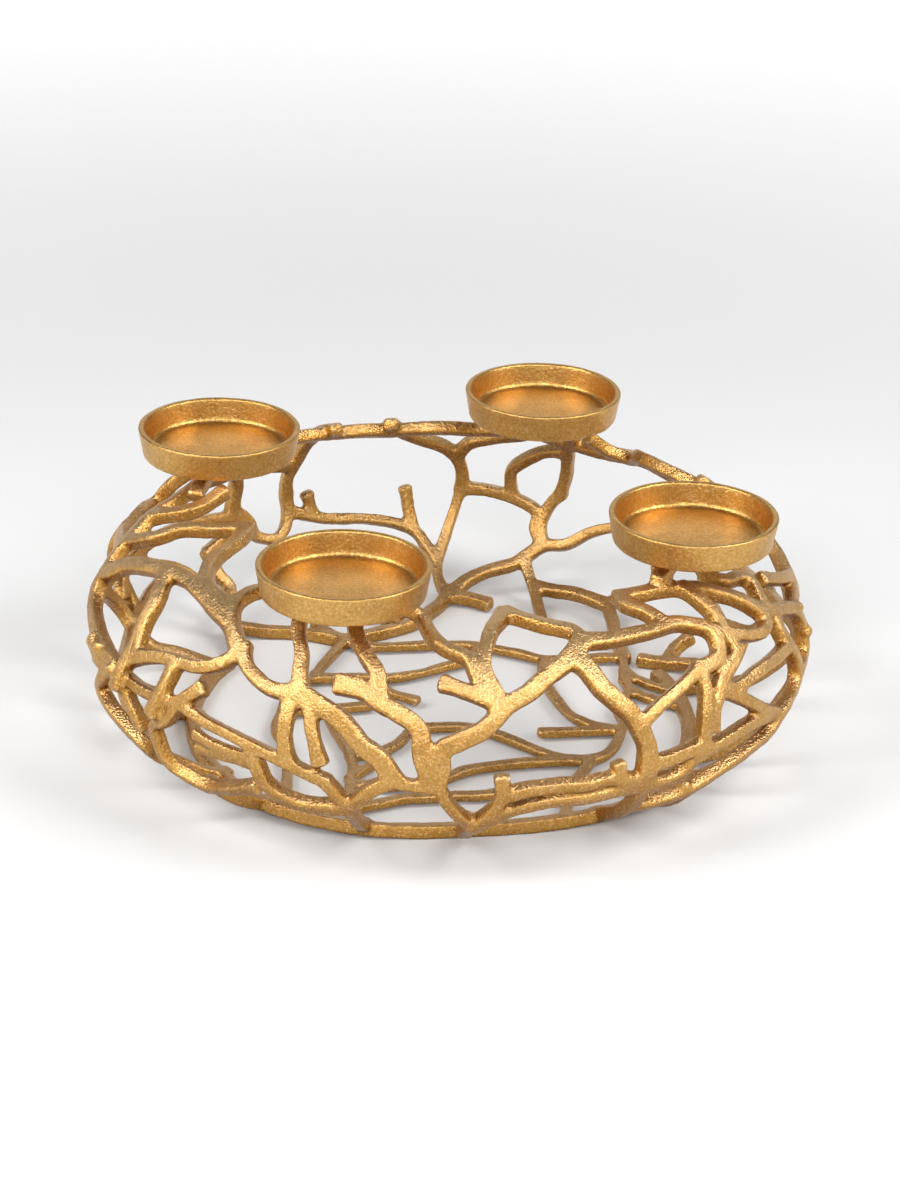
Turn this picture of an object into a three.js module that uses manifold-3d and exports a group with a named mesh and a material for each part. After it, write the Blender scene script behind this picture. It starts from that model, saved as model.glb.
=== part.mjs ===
// A cast-metal ring of branches that holds four pillar candles. Curved nets of branches, cast one by one
// and welded to each other, make a hollow ring with an open middle. Four shallow cups sit on its rim.
// Millimetres, +Z up, with the middle of the foot ring on the floor as the origin and the front at -Y.
import * as THREE from "three";
import { mergeVertices } from "three/addons/utils/BufferGeometryUtils.js";
import Module from "manifold-3d";

const wasm = await Module();
wasm.setup();

// The wall, as a section that is turned round the middle
const ringRadius = 137; // of the foot ring and of the top rim
const bulge = 63; // how far the wall stands out between them
const seamHeight = 60; // where the lower and the upper castings meet
const rimHeight = 125;
const upperFullness = 1.9; // 2 is an ellipse, less is flatter
const lowerFullness = 1.75;

// The branches
const branchWidth = 7.4; // along the wall
const broadBranchWidth = 9.4;
const lowerBranchWidth = 6.8;
const branchDepth = 7.8; // through the wall
const thinBranchWidth = 5;
const thinBranchDepth = 5.2;
const floorBranchWidth = 5.8;
const floorBranchDepth = 5;
const floorBranchHeight = 4.4; // of their middle over the floor
const footSink = 0.6; // how much is ground off the underside, so that it stands flat
const swell = 0.24; // how much wider a branch is where it meets others
const swellPower = 4; // higher keeps the swelling nearer the ends
const overrunShare = 0.3; // how far an end runs on into the branch it meets, in widths
const branchSpread = 0.8; // how much wider or narrower one branch is than the next
const handwork = 0.35; // how much a branch's width and height wander along it
const branchStep = 20; // length of one straight stretch
const shortestStretch = 12; // where a route bends closely
const gap = 0.3; // between pieces that touch
const sameCorner = 1e-4; // corners nearer than this are one

// The cups
const cupCount = 4;
const cupCircle = 139;
const firstCupAzimuth = -22;
const cupRimRadius = 45;
const cupFootRadius = 42.4;
const cupFootEdge = 1;
const cupHeight = 16;
const cupWall = 3.4;
const cupFloor = 3;
const cupLip = 1.1;
const cupFillet = 2.2;
const cupRimHeight = 150;
const cupRise = [1, -1.5, 0.5, 0]; // no two cups were welded on quite level with each other
const cupSides = 34;

const metal = { color: 0xc89a55, roughness: 0.38, metalness: 1 };

// A place on the wall is [degrees round, degrees up, lift]. Round is counter-clockwise from +X. Up is 0 at
// the seam, 90 on the rim and -90 under the foot, and past those a degree is a millimetre inwards. Lift
// stands a branch off the wall. The castings are listed in the order in which they are welded together,
// and each is cut back from those before it.
const wallCastings = [
  {
    name: "lower_left_casting",
    width: lowerBranchWidth,
    routes: [
      // along the seam
      [[129, -9], [137, -3], [145, 1], [154, 0], [163, -2], [172, -2]],
      [[138, -24], [138, -38], [137, -47], [142, -58]],
      [[131, -1], [128, -13], [127, -24], [123, -29]],
      [[128, -14], [134, -19], [138, -24]],
      [[157, -3], [153, -14], [147, -24], [144, -34], [144, -50], [144, -66], [148, -80], [153, -93]],
      [[174, 1], [171, -5], [168, -14], [166, -26], [166, -38], [166, -50], [162, -64], [160, -80],
        [160, -93]],
      [[160, 0], [161, -8], [163, -14], [164, -20]],
      [[162, -16], [162, -28], [166, -36]],
      [[173, -1], [177, -12], [179, -26], [181, -40], [182, -56], [181, -68], [184, -80], [187, -91]],
      [[166, -37], [174, -41], [181, -41]],
      [[147, -24], [156, -29], [166, -37]],
      [[181, -41], [188, -45], [197, -47], [206, -44], [214, -39]],
      [[203, -46], [194, -57], [190, -68], [184, -80]],
      // outer left
      [[200, 4], [207, 8], [213, 10], [219, 11], [226, 14], [233, 11], [240, 8], [247, 3], [253, -5]],
      [[199, 13, 3], [202, 9, 2], [206, 7], [209, 8]],
      [[207, 8], [204, -4, 1], [202, -16, 2], [206, -19, 3], [211, -23, 3], [215, -29, 3], [214, -39, 2],
        [214, -56], [216, -70], [216, -84]],
      [[216, -17], [215, -7], [213, 2]],
      [[226, 14], [230, 26]],
      [[226, 14], [224, 3], [221, -6], [221, -17, 1], [222, -27, 3], [224, -34, 3], [229, -38, 2],
        [235, -31, 1], [241, -22]],
      [[241, 4], [242, -7], [243, -17], [245, -23], [249, -27], [256, -23]],
      [[229, -38], [231, -60], [233, -91]],
    ],
    thinRoutes: [
      [[229, -2, -4], [232, -4, -4], [236, -5, -4], [241, -4, -3]],
      [[229, -14, -4], [233, -12, -4], [237, -10, -4], [242, -9, -3]],
    ],
  },
  {
    name: "lower_back_casting",
    width: lowerBranchWidth,
    routes: [
      [[88, -4], [84, -4], [79, -8], [74, -16], [74, -26], [72, -35]],
      [[88, -4], [89, -18], [90, -29], [91, -39], [92, -50], [92, -60], [90, -75]],
      [[70, 0], [72, -12], [73, -24], [72, -35]],
      [[72, -35], [68, -33], [63, -22], [57, -14], [48, -9]],
      [[72, -35], [75, -44], [77, -49], [82, -55], [85, -60], [90, -75]],
      [[90, -75], [85, -76], [80, -80]],
      [[75, -45], [72, -59], [70, -68], [67, -82], [65, -94]],
      [[71, -61], [67, -61], [62, -60], [54, -61]],
      [[54, -61], [50, -71], [43, -88], [36, -99]],
      [[54, -61], [51, -52], [46, -42], [46, -26], [48, -9]],
      [[120, -1], [120, -14], [121, -23], [123, -29], [122, -44], [116, -62], [109, -84], [106, -108]],
      [[119, -14], [113, -21], [103, -25], [97, -31], [94, -42], [92, -50]],
      [[115, -19], [116, -3]],
      [[97, -29], [98, -5]],
      [[90, -75], [94, -95], [100, -112], [110, -120], [124, -122]],
      [[144, -66], [140, -76], [134, -92], [127, -112], [124, -122]],
    ],
  },
  {
    name: "lower_front_casting",
    width: lowerBranchWidth,
    routes: [
      [[253, -5], [256, -23, -1], [256, -45, -4], [255, -70, -4], [254, -82, -1]],
      [[263, 3], [266, 0], [269, 2]],
      [[263, 3], [260, -6], [258, -14], [256, -23]],
      [[269, 2], [270, -3], [271, -12], [273, -23], [275, -33, -2], [275, -60, -6], [275, -80, -2]],
      [[275, -33], [278, -19], [279, -8], [279, 5]],
      [[275, -33], [281, -18], [286, -14], [292, -15], [297, -14], [302, -15]],
      [[279, -8], [283, -4], [287, -3], [292, -5], [296, -4], [302, -14]],
      [[298, -13], [297, 5]],
      [[302, -15], [308, -16], [311, -6], [313, 2]],
      [[302, 0], [308, 1], [313, 2]],
      [[302, -15], [303, -42, -3], [305, -68, -3], [306, -84]],
    ],
  },
  {
    name: "lower_right_casting",
    width: lowerBranchWidth,
    routes: [
      // outer right
      [[344, -1], [341, -7, 1], [335, -10, 2], [331, -16, 3], [325, -18, 3], [319, -21, 3], [314, -26, 3],
        [309, -31, 2], [303, -38, -2]],
      [[311, -6], [319, -2], [326, -2], [333, -9]],
      [[344, -1], [348, -20], [346, -40], [342, -62], [340, -91]],
      [[331, -16], [334, -36], [330, -58], [326, -91]],
      [[314, -26], [316, -50], [318, -72], [320, -91]],
      [[346, -40], [334, -36]],
      // back right
      [[48, -9], [38, -3], [30, -9], [20, -10], [12, -10], [4, -7], [-4, -4], [-16, -1]],
      [[0, -4], [2, -14], [4, -26], [6, -40], [8, -54], [12, -66], [15, -80], [16, -92]],
      [[38, -3], [38, -20], [35, -33], [27, -42], [20, -50], [17, -62], [13, -70]],
      [[20, -10], [17, -17], [17, -26], [19, -35], [27, -42]],
      [[20, -40], [17, -48], [14, -58], [13, -66]],
      [[18, -62], [24, -71], [28, -80], [33, -92]],
      [[31, -58], [31, -68], [28, -80]],
    ],
  },
  {
    name: "upper_left_casting",
    width: branchWidth,
    routes: [
      // the rim, under the back left cup
      [[176, 88, 5], [168, 90, 9], [158, 88, 10], [147, 88, 9], [139, 82, 5]],
      [[151, 88, 8], [150, 62], [152, 42], [153, 26], [155, 0]],
      [[133, 28], [139, 27], [146, 21], [153, 28], [160, 34, -1], [168, 33, -2], [176, 40, -2], [185, 47]],
      [[166, 34, -1], [166, 18], [163, 0]],
      [[165, 92, 9], [168, 86, 4], [173, 76], [178, 64], [183, 53], [187, 34]],
      [[184, 51], [187, 58], [190, 68], [190, 80], [191, 92], [192, 106], [192, 117]],
      [[192, 117], [197, 112], [203, 101], [208, 88], [213, 77], [218, 71], [226, 68]],
      [[179, 66], [181, 80], [180, 92, 2], [176, 104, 8]],
      [[205, 64], [210, 50], [211, 40], [213, 24]],
      [[212, 20], [218, 29], [222, 32], [227, 34], [230, 37], [233, 44], [234, 51]],
      [[212, 26], [212, 6, 5]],
      [[223, 33], [223, 20, 2], [222, 5, 5]],
      [[226, 68], [226, 77], [227, 88], [232, 91, 5], [238, 90, 10]],
      [[226, 69], [229, 60], [233, 51]],
      [[187, 34], [188, 25], [191, 19], [196, 16], [202, 13], [208, 11]],
    ],
    broadRoutes: [
      [[187, 34], [190, 39], [193, 48], [199, 58], [206, 65], [211, 68], [217, 67], [223, 64], [228, 61]],
    ],
  },
  {
    name: "upper_back_casting",
    width: branchWidth,
    routes: [
      // the rim, from the back left cup to the back right one
      [[139, 82, 5], [132, 70, -1], [119, 64, -3], [110, 62, -4], [101, 56, -4], [92, 60, -4], [85, 55, -3],
        [79, 56, -1], [73, 66, 5], [66, 84, 10], [60, 72, 5]],
      [[103, 66, -2], [100, 44], [96, 35], [92, 29], [89, 21]],
      [[89, 21], [86, 33], [81, 40], [76, 47], [73, 66, 3]],
      [[89, 21], [88, 9], [88, -5]],
      [[79, -5], [79, 13], [77, 20], [72, 31], [68, 34]],
      [[68, 34], [69, 14], [70, 1]],
      [[68, 34], [66, 50, 1], [66, 76, 8]],
      [[116, 72, -2], [118, 42], [119, 24], [120, 14], [120, 1]],
      [[120, 22], [126, 27], [134, 44], [139, 66, 3], [142, 84, 8]],
      [[139, 60, 2], [135, 40], [131, 20], [131, 0]],
    ],
  },
  {
    name: "upper_front_casting",
    width: branchWidth,
    routes: [
      // under the front left cup
      [[238, 90, 4], [248, 88, 4], [260, 90, 4]],
      // front left, below the cup
      [[236, 90, 10], [240, 82, 6], [242, 68], [245, 56], [246, 46], [247, 37]],
      [[247, 37], [242, 36], [239, 39], [236, 44], [234, 51]],
      [[247, 37], [249, 32], [250, 24], [251, 16], [252, 7]],
      [[246, 31], [246, 17], [247, 4]],
      [[251, 88, 9], [253, 73, 1], [256, 62], [259, 52], [260, 41]],
      [[260, 90, 10], [264, 92, 4], [267, 80], [269, 72], [271, 68], [274, 64], [275, 58], [276, 50],
        [279, 41]],
      [[284, 103], [280, 86], [278, 73], [277, 63], [277, 55], [278, 48], [279, 41]],
      [[270, 50], [273, 47], [279, 40]],
      [[284, 103], [288, 91], [291, 83], [295, 76], [296, 68]],
      // front right
      [[296, 68], [300, 66], [305, 65], [311, 64], [316, 63], [319, 59], [322, 53], [322, 45], [320, 39],
        [315, 38]],
      [[315, 38], [309, 32], [306, 29], [301, 22]],
      [[315, 38], [315, 28], [314, 19], [313, 10], [313, 2]],
    ],
    broadRoutes: [
      [[247, 37], [253, 31], [256, 25], [258, 19], [261, 13], [263, 3]],
      [[253, 45], [257, 44], [260, 39], [263, 35], [266, 30], [267, 24], [267, 17], [268, 9], [269, 0]],
      [[269, 0], [270, 11], [270, 19], [273, 24], [276, 28], [278, 33], [280, 39], [284, 45], [287, 51],
        [292, 59], [296, 68]],
      [[293, 62], [295, 51], [296, 43], [298, 35], [300, 28], [301, 20], [302, 12], [302, 2], [302, -13]],
    ],
  },
  {
    name: "upper_right_casting",
    width: branchWidth,
    routes: [
      // the rim, from the back right cup round to the right one
      [[60, 66, 0], [57, 54, -3], [53, 48, -2], [48, 60, -2], [43, 60, -3], [37, 58, -3], [32, 52, -2],
        [25, 60], [17, 75, 2], [8, 86, 6], [-2, 90, 9], [-14, 90, 10], [-28, 90, 10], [-38, 88, 5]],
      [[72, 47, 1], [64, 42], [58, 42], [51, 46], [47, 42], [41, 35], [33, 22]],
      // right, under and beside the cup
      [[312, 95], [322, 86], [329, 74], [332, 65], [335, 56], [338, 43]],
      [[313, 94], [311, 86], [313, 75], [314, 64]],
      [[338, 43], [337, 38], [334, 37], [331, 39], [327, 44], [323, 50]],
      [[325, 92, 9], [322, 88, 2]],
      [[343, 90, 9], [336, 78, 1], [337, 67], [341, 63], [343, 58], [341, 50], [339, 42]],
      [[374, 76, 2], [373, 60], [370, 44], [364, 34], [360, 29], [354, 29], [350, 28]],
      [[361, 32], [352, 44], [347, 52]],
      [[338, 43], [342, 39], [350, 28], [353, 13], [353, 1]],
      [[342, 39], [340, 31], [341, 22], [343, 11], [344, 0]],
      [[326, 80, 1], [326, 58], [325, 46], [325, 37], [322, 33], [319, 29], [318, 25]],
      [[318, 25], [322, 22], [328, 23], [334, 22], [341, 21]],
      [[318, 25], [322, 17], [326, 8], [331, -5]],
      [[318, 25], [316, 18], [315, 8]],
      // back right
      [[32, 57], [30, 38], [33, 22], [36, 8], [38, -1]],
      [[17, 75, 2], [16, 56], [18, 38], [14, 24], [11, 8], [9, -3]],
      [[33, 22], [26, 27], [18, 36]],
    ],
  },
];

// The foot ring runs from the back left round the front to the back right, and isn't quite round
const footRing = [
  [156, -91], [176, -88], [196, -84], [212, -80], [226, -76], [240, -75], [252, -79], [264, -86],
  [276, -91], [288, -90], [300, -85], [312, -79], [324, -79], [336, -84], [348, -88], [364, -91], [384, -93],
];

// A place on the floor net is [x, y]
const floorBranches = [
  [[-77, 107], [-58, 87], [-43, 80], [-26, 81], [-3, 85], [20, 84], [41, 77], [58, 69], [80, 72],
    [103, 76]],
  [[-58, 87], [-63, 73], [-69, 55], [-75, 36], [-88, 8], [-90, -12], [-92, -30], [-86, -48], [-83, -68],
    [-82, -109]],
  [[-75, 36], [-61, 37], [-45, 39], [-30, 39], [-14, 46], [2, 57], [14, 66], [20, 84]],
  [[-37, 38], [-32, 22], [-15, 11]],
  [[-90, -8], [-66, -3], [-52, 0], [-40, 4]],
  [[-66, -3], [-57, -35], [-51, -53], [-48, -70], [-48, -92], [-46, -129]],
  [[-51, -60], [-32, -52], [-23, -40], [-16, -26], [8, -20], [26, -25]],
  [[-49, -86], [-37, -68]],
  [[26, -25], [40, -36], [51, -45], [62, -53], [72, -55], [81, -55]],
  [[-48, -92], [-20, -91], [0, -84], [13, -72], [34, -64], [48, -60], [81, -55]],
  [[-46, -119], [-29, -111], [-19, -106], [-5, -104], [8, -101], [21, -100], [42, -93], [69, -88]],
  [[81, -55], [75, -73], [69, -88], [66, -120]],
  [[54, -24], [70, -22], [95, -18]],
  [[58, 69], [56, 50], [59, 34], [66, 11], [72, -3], [82, -13], [95, -18]],
  [[103, 45], [105, 32], [98, 8], [100, -9], [98, -25], [90, -48], [81, -55]],
  [[103, 76], [103, 45]],
  [[103, 58], [109, 48], [120, 38], [131, 30], [135, 10]],
  [[105, 32], [117, 22], [135, 14]],
];

// The wall's section at a height angle: how far out, how high, and which way it faces
function wallSection(up) {
  const turn = THREE.MathUtils.degToRad(THREE.MathUtils.clamp(up, -90, 90));
  const inwards = Math.max(Math.abs(up) - 90, 0);
  const power = 2 / (up < 0 ? lowerFullness : upperFullness);
  const half = up < 0 ? seamHeight : rimHeight - seamHeight;
  const out = ringRadius + bulge * Math.cos(turn) ** power - inwards;
  const high = seamHeight + half * Math.sign(turn) * Math.abs(Math.sin(turn)) ** power;
  return new THREE.Vector2(out, high);
}

// The middle of a branch at a place on the wall, and the way that the wall faces there
function onWall(round, up, lift) {
  const section = wallSection(up);
  const along = wallSection(up + 1).sub(wallSection(up - 1)).normalize();
  const azimuth = THREE.MathUtils.degToRad(round);
  const outwards = new THREE.Vector3(Math.cos(azimuth), Math.sin(azimuth), 0);
  const face = outwards.clone().multiplyScalar(along.y);
  face.z = -along.x;
  const middle = outwards.clone().multiplyScalar(section.x);
  middle.z = section.y;
  middle.addScaledVector(face, lift - branchDepth / 2);
  return { middle, face };
}

const seedStride = 31; // keeps the stations of one branch apart from those of the next
const castingSeed = 100; // keeps the branches of one casting apart from those of the next
const broadSeed = 40;
const thinSeed = 60;
const floorSeed = 900;
const footSeed = 950;

// A number from -1 to 1 that always comes out the same for one seed
function wander(seed) {
  const value = Math.sin(seed * 12.9898) * 43758.5453;
  return 2 * (value - Math.floor(value)) - 1;
}

function solidFrom(geometry) {
  geometry.deleteAttribute("normal");
  geometry.deleteAttribute("uv");
  const merged = mergeVertices(geometry, sameCorner);
  const mesh = new wasm.Mesh({
    numProp: 3,
    vertProperties: new Float32Array(merged.attributes.position.array),
    triVerts: new Uint32Array(merged.index.array),
  });
  return new wasm.Manifold(mesh);
}

function geometryFrom(solid) {
  const mesh = solid.getMesh();
  const geometry = new THREE.BufferGeometry();
  geometry.setAttribute("position", new THREE.BufferAttribute(mesh.vertProperties, 3));
  geometry.setIndex(new THREE.BufferAttribute(mesh.triVerts, 1));
  return geometry;
}

// A bar with a four-sided section, swept through stations that each have a middle, a face and a size
function barSolid(stations) {
  const corners = [[-1, -1], [1, -1], [1, 1], [-1, 1]];
  const points = [];
  stations.forEach((station, i) => {
    const before = stations[Math.max(i - 1, 0)].middle;
    const after = stations[Math.min(i + 1, stations.length - 1)].middle;
    const along = after.clone().sub(before).normalize();
    const side = along.clone().cross(station.face).normalize();
    const face = side.clone().cross(along);
    for (const [sideways, outwards] of corners) {
      const point = station.middle.clone();
      point.addScaledVector(side, (sideways * station.width) / 2);
      point.addScaledVector(face, (outwards * station.depth) / 2);
      points.push(point.x, point.y, point.z);
    }
  });
  const faces = [0, 1, 2, 0, 2, 3];
  const last = 4 * (stations.length - 1);
  faces.push(last, last + 2, last + 1, last, last + 3, last + 2);
  for (let i = 0; i < stations.length - 1; i++) {
    for (let j = 0; j < 4; j++) {
      const a = 4 * i + j;
      const b = 4 * i + ((j + 1) % 4);
      faces.push(a, a + 4, b, b, a + 4, b + 4);
    }
  }
  const geometry = new THREE.BufferGeometry();
  geometry.setAttribute("position", new THREE.Float32BufferAttribute(points, 3));
  geometry.setIndex(faces);
  const solid = solidFrom(geometry);
  if (solid.volume() <= 0) throw new Error("a branch is inside out");
  return solid;
}

// Splits a route into stretches of about one step, and runs it on a little past both ends
function stationsAlong(route, place, width, depth, seed, grow) {
  const curve = new THREE.CatmullRomCurve3(route.map((at) => new THREE.Vector3(at[0], at[1], at[2] ?? 0)));
  const stations = [];
  for (let i = 0; i < route.length - 1; i++) {
    const from = place(curve.getPoint(i / (route.length - 1))).middle;
    const to = place(curve.getPoint((i + 1) / (route.length - 1))).middle;
    const steps = Math.max(1, Math.round(from.distanceTo(to) / branchStep));
    for (let k = i === 0 ? 0 : 1; k <= steps; k++) {
      const share = (i + k / steps) / (route.length - 1);
      const { middle, face } = place(curve.getPoint(share));
      const inner = share > 0 && share < 1;
      if (inner && middle.distanceTo(stations[stations.length - 1].middle) < shortestStretch) continue;
      const end = Math.abs(2 * share - 1) ** swellPower;
      const drift = handwork * wander(seed * seedStride + stations.length);
      stations.push({
        middle: middle.addScaledVector(face, drift),
        face,
        width: width * (1 + swell * end) + 2 * drift + 2 * grow,
        depth: depth + 2 * grow,
      });
    }
  }
  const overrun = overrunShare * width + grow;
  const first = stations[0].middle;
  const second = stations[1].middle;
  first.addScaledVector(first.clone().sub(second).normalize(), overrun);
  const last = stations[stations.length - 1].middle;
  const previous = stations[stations.length - 2].middle;
  last.addScaledVector(last.clone().sub(previous).normalize(), overrun);
  return stations;
}

function wallBranches(routes, breadth, depth, seed, grow) {
  const place = (at) => onWall(at.x, at.y, at.z);
  return routes.map((route, i) => {
    const width = breadth + branchSpread * wander(seed + i);
    return barSolid(stationsAlong(route, place, width, depth, seed + i, grow));
  });
}

// All the branches of a casting, grown by a margin
function castingBranches(casting, grow) {
  const seed = castingSeed * (1 + wallCastings.indexOf(casting));
  const broad = casting.broadRoutes ?? [];
  const thin = casting.thinRoutes ?? [];
  return joined([
    ...wallBranches(casting.routes, casting.width, branchDepth, seed, grow),
    ...wallBranches(broad, broadBranchWidth, branchDepth, seed + broadSeed, grow),
    ...wallBranches(thin, thinBranchWidth, thinBranchDepth, seed + thinSeed, grow),
  ]);
}

// The foot ring and the open net that it holds
function floorPieces(grow) {
  const onFloor = (at) => ({
    middle: new THREE.Vector3(at.x, at.y, floorBranchHeight),
    face: new THREE.Vector3(0, 0, 1),
  });
  const underWall = (at) => onWall(at.x, at.y, footSink);
  const net = floorBranches.map((route, i) =>
    barSolid(stationsAlong(route, onFloor, floorBranchWidth, floorBranchDepth, floorSeed + i, grow)),
  );
  const ring = barSolid(stationsAlong(footRing, underWall, branchWidth, branchDepth, footSeed, grow));
  return joined([ring, ...net]);
}

function joined(solids) {
  return wasm.Manifold.union(solids);
}

function largest(solid) {
  return solid.decompose().sort((a, b) => b.volume() - a.volume())[0];
}

// A cup's section, from the middle of its underside round to the middle of its floor
function cupProfile() {
  const innerRim = cupRimRadius - cupWall;
  const innerFoot = cupFootRadius - cupWall;
  return [
    [0, 0],
    [cupFootRadius - cupFootEdge, 0],
    [cupFootRadius, cupFootEdge],
    [cupRimRadius, cupHeight - cupLip],
    [cupRimRadius - cupLip, cupHeight],
    [innerRim + cupLip / 2, cupHeight],
    [innerRim, cupHeight - cupLip],
    [innerFoot, cupFloor + cupFillet],
    [innerFoot - cupFillet, cupFloor],
    [0, cupFloor],
  ];
}

function lathe(profile) {
  const points = profile.map(([radius, height]) => new THREE.Vector2(radius, height));
  return new THREE.LatheGeometry(points, cupSides);
}

function cupPlace(index) {
  const azimuth = THREE.MathUtils.degToRad(firstCupAzimuth + (360 / cupCount) * index);
  return new THREE.Vector3(
    cupCircle * Math.cos(azimuth),
    cupCircle * Math.sin(azimuth),
    cupRimHeight + cupRise[index] - cupHeight,
  );
}

// The room that a cup takes, with the gap all round
function cupRoom(index) {
  const outer = [
    [0, -gap],
    [cupFootRadius + gap, -gap],
    [cupRimRadius + gap, cupHeight + gap],
    [0, cupHeight + gap],
  ];
  const geometry = lathe(outer).rotateX(Math.PI / 2);
  const place = cupPlace(index);
  return solidFrom(geometry.translate(place.x, place.y, place.z));
}

// What is ground off under the floor
const groundAcross = 2.5 * (ringRadius + bulge);
const groundDepth = 40;
const ground = new THREE.BoxGeometry(groundAcross, groundAcross, groundDepth);
const belowFloor = solidFrom(ground.translate(0, 0, -groundDepth / 2));
const cupRooms = Array.from({ length: cupCount }, (_, i) => cupRoom(i));
const cutAway = joined([belowFloor, ...cupRooms]);

// Each casting is cut back from those before it
const floorCasting = largest(floorPieces(0).subtract(cutAway));
let taken = floorPieces(gap);
const castings = wallCastings.map((casting) => {
  const solid = castingBranches(casting, 0).subtract(taken).subtract(cutAway);
  taken = taken.add(castingBranches(casting, gap));
  return largest(solid);
});

function mesh(name, geometry) {
  const made = new THREE.Mesh(geometry, new THREE.MeshStandardMaterial(metal));
  made.name = name;
  return made;
}

const candleRing = new THREE.Group();
candleRing.name = "branch_candle_ring";
candleRing.add(mesh("floor_casting", geometryFrom(floorCasting)));
castings.forEach((solid, i) => candleRing.add(mesh(wallCastings[i].name, geometryFrom(solid))));
["right", "back_right", "back_left", "front_left"].forEach((side, i) => {
  const cup = mesh("candle_cup_" + side, lathe(cupProfile()).rotateX(Math.PI / 2));
  cup.position.copy(cupPlace(i));
  candleRing.add(cup);
});

export default candleRing;
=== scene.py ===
import math

import bmesh
import bpy
import numpy as np
from mathutils import Matrix, Vector


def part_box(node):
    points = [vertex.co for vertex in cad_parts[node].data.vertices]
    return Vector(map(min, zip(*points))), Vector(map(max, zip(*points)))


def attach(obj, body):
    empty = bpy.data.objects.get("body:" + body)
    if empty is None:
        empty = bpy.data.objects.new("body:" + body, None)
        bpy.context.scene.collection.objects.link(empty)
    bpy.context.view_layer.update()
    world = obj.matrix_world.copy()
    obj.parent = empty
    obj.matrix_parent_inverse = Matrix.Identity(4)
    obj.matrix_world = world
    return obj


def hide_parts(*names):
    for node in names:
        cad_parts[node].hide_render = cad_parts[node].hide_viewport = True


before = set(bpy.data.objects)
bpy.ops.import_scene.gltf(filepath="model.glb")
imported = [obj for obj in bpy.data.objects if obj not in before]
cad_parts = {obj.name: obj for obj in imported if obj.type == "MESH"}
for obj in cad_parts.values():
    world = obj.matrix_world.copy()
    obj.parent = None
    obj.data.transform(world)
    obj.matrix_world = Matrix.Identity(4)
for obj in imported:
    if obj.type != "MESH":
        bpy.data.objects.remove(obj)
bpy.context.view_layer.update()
branchNodes = sorted(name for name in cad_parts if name.endswith("_casting"))
cupNodes = sorted(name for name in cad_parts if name.startswith("candle_cup_"))
print("frame loaded:", branchNodes, cupNodes)


class Wire:
    def __init__(self, graph, socket):
        self.graph = graph
        self.socket = socket

    def math(self, operation, *others):
        values = dict(enumerate([self, *others]))
        return self.graph.node("ShaderNodeMath", {"operation": operation}, values)

    def __add__(self, other):
        return self.math("ADD", other)

    def __radd__(self, other):
        return self.math("ADD", other)

    def __sub__(self, other):
        return self.math("SUBTRACT", other)

    def __rsub__(self, other):
        return self.graph.node("ShaderNodeMath", {"operation": "SUBTRACT"}, {0: other, 1: self})

    def __mul__(self, other):
        return self.math("MULTIPLY", other)

    def __rmul__(self, other):
        return self.math("MULTIPLY", other)

    def __truediv__(self, other):
        return self.math("DIVIDE", other)

    def __pow__(self, other):
        return self.math("POWER", other)


class Graph:
    def __init__(self, name):
        self.material = bpy.data.materials.new(name)
        self.material.use_nodes = True
        self.tree = self.material.node_tree
        self.tree.nodes.clear()

    def node(self, kind, settings, sockets, out=0):
        made = self.tree.nodes.new(kind)
        for name, value in settings.items():
            setattr(made, name, value)
        for key, value in sockets.items():
            if isinstance(value, Wire):
                self.tree.links.new(value.socket, made.inputs[key])
            else:
                made.inputs[key].default_value = value
        return Wire(self, made.outputs[out])

    def finish(self, shader):
        last = self.tree.nodes.new("ShaderNodeOutputMaterial")
        self.tree.links.new(shader.socket, last.inputs["Surface"])
        return self.material

    def smooth(self, value, low, high, first=0.0, last=1.0):
        sockets = {"Value": value, 1: low, 2: high, 3: first, 4: last}
        return self.node("ShaderNodeMapRange", {"interpolation_type": "SMOOTHSTEP"}, sockets)

    def mix(self, share, first, second):
        settings = {"data_type": "RGBA", "clamp_factor": True}
        return self.node("ShaderNodeMix", settings, {0: share, 6: first, 7: second}, out=2)

    def noise(self, vector, scale, detail, roughness):
        sockets = {"Vector": vector, "Scale": scale, "Detail": detail, "Roughness": roughness}
        return self.node("ShaderNodeTexNoise", {}, sockets)


def colour(red, green, blue):
    return (red, green, blue, 1.0)


def meshOf(bm, name):
    mesh = bpy.data.meshes.new(name)
    bm.to_mesh(mesh)
    bm.free()
    return mesh


def addObject(name, mesh):
    made = bpy.data.objects.new(name, mesh)
    bpy.context.scene.collection.objects.link(made)
    return made


def applied(obj):
    # the object's mesh with its modifiers worked in
    graph = bpy.context.evaluated_depsgraph_get()
    mesh = bpy.data.meshes.new_from_object(obj.evaluated_get(graph))
    obj.modifiers.clear()
    old = obj.data
    obj.data = mesh
    bpy.data.meshes.remove(old)
    return obj


def modify(obj, kind, **settings):
    made = obj.modifiers.new(kind.lower(), kind)
    for name, value in settings.items():
        setattr(made, name, value)
    return made


def cloud(name, size):
    made = bpy.data.textures.new(name, "CLOUDS")
    made.noise_scale = size
    made.noise_depth = 2
    return made


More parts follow.
